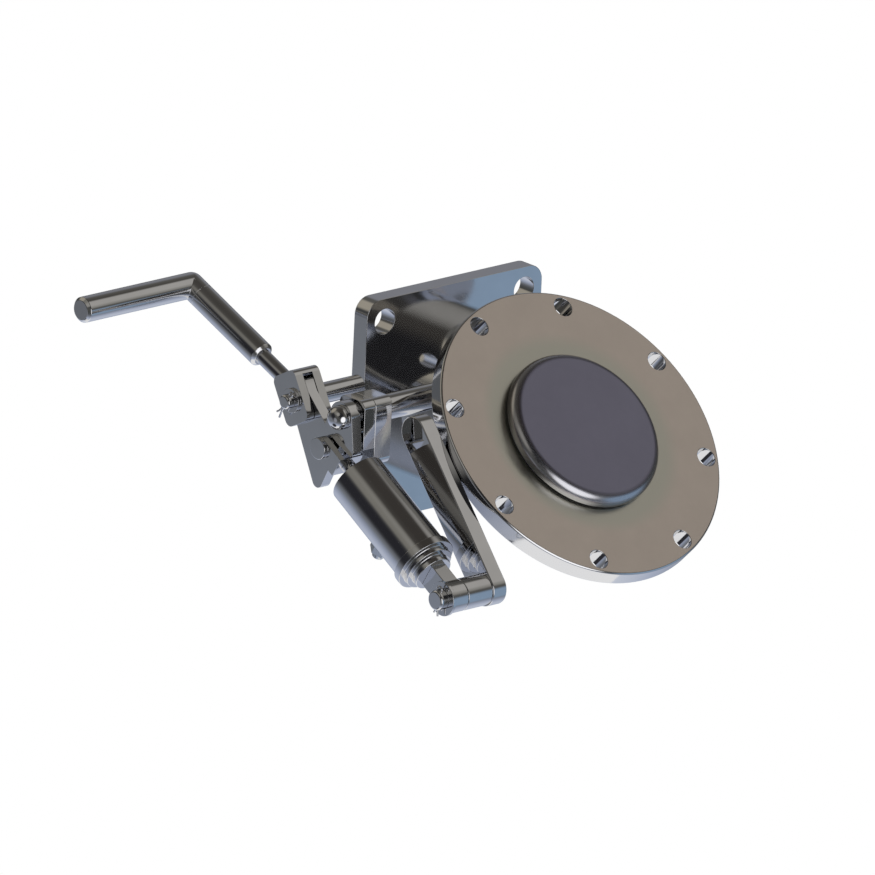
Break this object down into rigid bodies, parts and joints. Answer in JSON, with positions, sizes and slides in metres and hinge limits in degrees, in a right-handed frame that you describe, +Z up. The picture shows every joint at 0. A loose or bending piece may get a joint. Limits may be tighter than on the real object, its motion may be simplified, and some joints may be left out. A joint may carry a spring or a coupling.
{
  "type": "bottom discharge valve",
  "caption": "Tank bottom discharge valve: tilted round tank flange with a lift poppet, mitred tube, square outlet flange, side lever with folding crank handle and holding cylinder.",
  "frame": {"origin": "centre of the tank flange's mating face", "axes": "+Z up, +Y out of the outlet along its axis, mechanism and handle on the -X side; the tank flange faces -Y and up at 45 degrees"},
  "size_m": [0.36, 0.3219, 0.1679],
  "materials": {
    "polished_steel": "polished stainless steel",
    "machined_steel": "finely turned stainless steel",
    "poppet_steel": "dark satin steel",
    "seal_rubber": "black rubber",
    "fitting_plated": "plated fitting"
  },
  "bodies": {
    "valve_body": {"tank_flange": "machined_steel", "valve_tube": "polished_steel", "outlet_flange": "polished_steel", "stem_guide": "polished_steel", "shaft_housing": "polished_steel", "support_arm": "polished_steel", "bearing_block": "polished_steel", "bearing_boss": "polished_steel", "anchor_pin": "polished_steel", "anchor_collar": "polished_steel", "anchor_washer": "polished_steel"},
    "shaft": {"operating_shaft": "polished_steel", "lift_finger": "polished_steel", "lever_plate": "polished_steel", "hub_nut": "polished_steel"},
    "handle": {"knuckle": "polished_steel", "knuckle_pin": "polished_steel", "knuckle_washer": "polished_steel", "handle_neck": "polished_steel", "handle_arm": "polished_steel", "handle_grip": "polished_steel"},
    "poppet": {"poppet_disc": "poppet_steel", "poppet_seal": "seal_rubber", "poppet_stem": "polished_steel", "stem_foot": "polished_steel"},
    "cylinder": {"cylinder_eye": "polished_steel", "cylinder_cap": "polished_steel", "cylinder_barrel": "polished_steel", "cylinder_gland": "polished_steel", "port_fitting": "fitting_plated"},
    "rod": {"cylinder_rod": "polished_steel", "rod_fork": "polished_steel", "fork_pin": "polished_steel"}
  },
  "joints": [
    {"name": "operate", "type": "hinge", "parent": "valve_body", "child": "shaft", "pos_m": [-0.15, 0.074, 0.019], "axis": [-1, 0, 0], "range_deg": [0, 22]},
    {"name": "handle_fold", "type": "hinge", "parent": "shaft", "child": "handle", "pos_m": [-0.15, 0.116, 0.021], "axis": [1, 0, 0], "range_deg": [0, 70]},
    {"name": "poppet_lift", "type": "slide", "parent": "valve_body", "child": "poppet", "axis": [0, -0.7071, 0.7071], "range_m": [0, 0.0258]},
    {"name": "cylinder_swing", "type": "hinge", "parent": "valve_body", "child": "cylinder", "pos_m": [-0.15, -0.041, -0.078], "axis": [1, 0, 0], "range_deg": [0, 1]},
    {"name": "rod_slide", "type": "slide", "parent": "cylinder", "child": "rod", "axis": [0, 0.867, 0.4983], "range_m": [-0.0102, 0]}
  ],
  "couplings": [
    {"joint": "poppet_lift", "follows": "operate", "m_per_rad": 0.0669},
    {"joint": "cylinder_swing", "follows": "operate", "ratio": 0.042},
    {"joint": "rod_slide", "follows": "operate", "m_per_rad": -0.0262}
  ]
}
